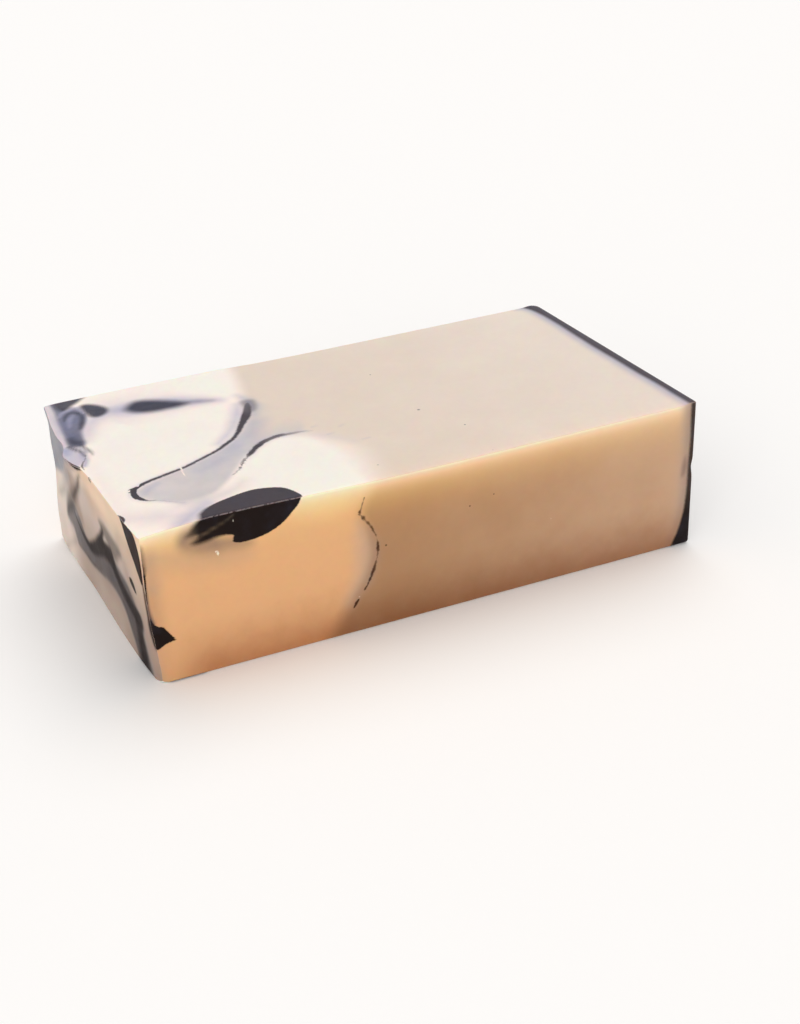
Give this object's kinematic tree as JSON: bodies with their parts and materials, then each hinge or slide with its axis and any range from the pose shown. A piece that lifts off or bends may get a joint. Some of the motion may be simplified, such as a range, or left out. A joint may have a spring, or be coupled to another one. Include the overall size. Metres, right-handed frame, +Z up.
{
  "type": "bar of soap",
  "caption": "Rectangular bar of handmade soap, cream and tan with dark marbled veins, flat wire-cut top and bottom, one gently swelling poured end and one dark end.",
  "frame": {"origin": "middle of the bar's bottom, on the surface that it lies on", "axes": "+X along the bar towards its dark end, +Y across the bar towards its back, +Z up through its thickness"},
  "size_m": [0.0909, 0.0508, 0.0246],
  "materials": {
    "soap": "satin"
  },
  "bodies": {
    "root": {"soap_bar": "soap"}
  },
  "joints": []
}
